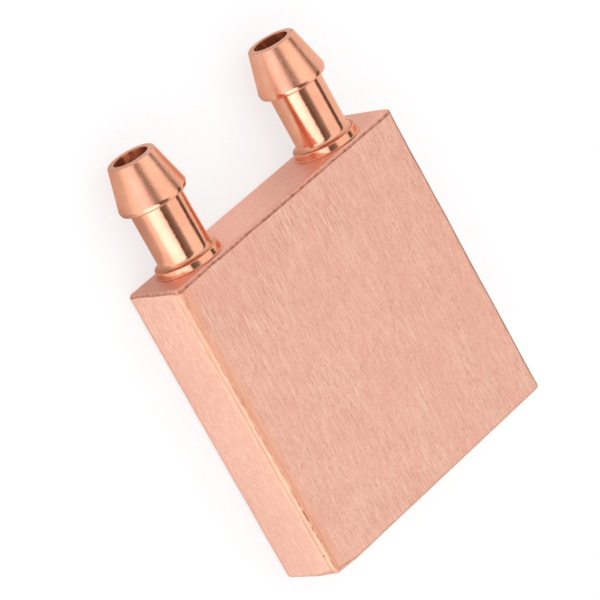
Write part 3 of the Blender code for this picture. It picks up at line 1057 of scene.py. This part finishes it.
def fade(tree, stops, axis="X"):
    """A value that changes across or up a panel, from stops given as place and value."""
    uv = tree.nodes.new("ShaderNodeUVMap")
    uv.uv_map = "panel"
    split = tree.nodes.new("ShaderNodeSeparateXYZ")
    ramp = tree.nodes.new("ShaderNodeValToRGB")
    ramp.color_ramp.interpolation = "EASE"
    for index, (place, value) in enumerate(stops):
        if index < 2:
            stop = ramp.color_ramp.elements[index]
            stop.position = place
        else:
            stop = ramp.color_ramp.elements.new(place)
        stop.color = (value, value, value, 1)
    tree.links.new(uv.outputs["UV"], split.inputs["Vector"])
    tree.links.new(split.outputs[axis], ramp.inputs["Fac"])
    return ramp.outputs["Color"]


def bare_material(name):
    """A material with an empty node tree, and the socket that its surface goes to."""
    material = bpy.data.materials.new(name)
    material.use_nodes = True
    tree = material.node_tree
    tree.nodes.clear()
    out = tree.nodes.new("ShaderNodeOutputMaterial")
    return material, tree, out.inputs["Surface"]


def mixed_shader(tree, share, first, second):
    """A mix of two shaders by a share from 0 to 1."""
    made = tree.nodes.new("ShaderNodeMixShader")
    tree.links.new(share, made.inputs["Fac"])
    tree.links.new(first, made.inputs[1])
    tree.links.new(second, made.inputs[2])
    return made.outputs["Shader"]


def softbox_material(name, colour, strength, across, up):
    """Light whose strength fades across and up the panel."""
    material, tree, surface = bare_material(name)
    light = tree.nodes.new("ShaderNodeEmission")
    light.inputs["Color"].default_value = (*colour, 1)
    level = combine(tree, "MULTIPLY", fade(tree, across), fade(tree, up, "Y"))
    tree.links.new(combine(tree, "MULTIPLY", level, strength), light.inputs["Strength"])
    tree.links.new(light.outputs["Emission"], surface)
    return material


def net_material(name, colour, across, up):
    """Dark net that lets less through where it is denser."""
    material, tree, surface = bare_material(name)
    open_air = tree.nodes.new("ShaderNodeBsdfTransparent")
    cloth = tree.nodes.new("ShaderNodeEmission")
    cloth.inputs["Color"].default_value = (*colour, 1)
    density = combine(tree, "MULTIPLY", fade(tree, across), fade(tree, up, "Y"))
    mixed = mixed_shader(tree, density, open_air.outputs["BSDF"], cloth.outputs["Emission"])
    tree.links.new(mixed, surface)
    return material


def seen_directly(tree):
    """1 for what the camera sees directly or in a reflection, and 0 for light that surfaces gather."""
    path = tree.nodes.new("ShaderNodeLightPath").outputs
    outside = combine(tree, "MAXIMUM", path["Is Camera Ray"], path["Is Glossy Ray"])
    return combine(tree, "MAXIMUM", outside, path["Is Transmission Ray"])


def floor_paper():
    """Pale paper that looks white by itself and still takes the block's shadow."""
    material, tree, surface = bare_material("floor_paper")
    paper = tree.nodes.new("ShaderNodeBsdfDiffuse")
    paper.inputs["Color"].default_value = (*PAPER, 1)
    white = tree.nodes.new("ShaderNodeEmission")
    white.inputs["Strength"].default_value = 1.0
    share = combine(tree, "MULTIPLY", seen_directly(tree), FLOOR_GLOW)
    mixed = mixed_shader(tree, share, paper.outputs["BSDF"], white.outputs["Emission"])
    tree.links.new(mixed, surface)
    return material


def make_world():
    """Even light from all round, and a white background."""
    world = bpy.data.worlds.new("studio")
    bpy.context.scene.world = world
    world.use_nodes = True
    sky = world.node_tree.nodes["Background"]
    sky.inputs["Color"].default_value = (1, 1, 1, 1)
    sky.inputs["Strength"].default_value = WORLD_STRENGTH


def make_floor():
    """A plain pale floor that keeps the block's shadow."""
    shape = bmesh.new()
    bmesh.ops.create_circle(shape, cap_ends=True, segments=FLOOR_STEPS, radius=FLOOR_RADIUS)
    stage_piece("floor", shape, floor_paper(), seen=True)


def make_studio():
    """Floor, world, two softboxes, the nets that draw the dark streaks, and two cards on the floor."""
    make_floor()
    make_world()
    key = softbox_material("key_light", KEY_COLOUR, KEY_STRENGTH, KEY_ACROSS, KEY_UP)
    panel("key_softbox", KEY_CORNERS, key)
    top = softbox_material("top_light", TOP_COLOUR, TOP_STRENGTH, EVEN, TOP_UP)
    panel("top_softbox", TOP_CORNERS, top)
    net("wide_net", WIDE_NET_CORNERS, WIDE_NET_ACROSS)
    net("narrow_net", NARROW_NET_CORNERS, NARROW_NET_ACROSS)
    net("far_net", FAR_NET_CORNERS, FAR_NET_ACROSS)
    bounce = softbox_material("bounce_light", BOUNCE_COLOUR, BOUNCE_STRENGTH, BOUNCE_ACROSS, EVEN)
    floor_card("bounce_card", BOUNCE_LOW, BOUNCE_HIGH, bounce)
    shade = net_material("floor_shade", WARM_SHADE, SHADE_ACROSS, SHADE_UP)
    floor_card("floor_shade", SHADE_LOW, SHADE_HIGH, shade)


def make_camera():
    """The photograph's viewpoint: from the left and above, with the camera turned on its side."""
    data = bpy.data.cameras.new("camera")
    data.sensor_width = SENSOR_WIDTH
    data.lens = LENS
    data.clip_start = CLIP_START
    camera = bpy.data.objects.new("camera", data)
    bpy.context.scene.collection.objects.link(camera)
    aim = (CAMERA_TARGET - CAMERA_PLACE).to_track_quat("-Z", "Y").to_matrix().to_4x4()
    camera.matrix_world = Matrix.Translation(CAMERA_PLACE) @ aim @ Matrix.Rotation(CAMERA_ROLL, 4, "Z")
    bpy.context.scene.camera = camera


def repaint(node, material):
    """Gives a node of the solids its finish."""
    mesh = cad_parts[node].data
    mesh.materials.clear()
    mesh.materials.append(material)


def build():
    """Dresses the block and sets up the studio and the camera."""
    satin = satin_copper()
    turned = turned_copper()
    braze = brazed_copper()
    make_body(satin)
    for side in ("inlet", "outlet"):
        make_barb(side, turned)
        make_braze(side, braze)
    repaint("cold_plate", plate_copper())
    repaint("plate_braze_seam", braze)
    make_studio()
    make_camera()
    bpy.context.scene.view_settings.view_transform = "Standard"


build()
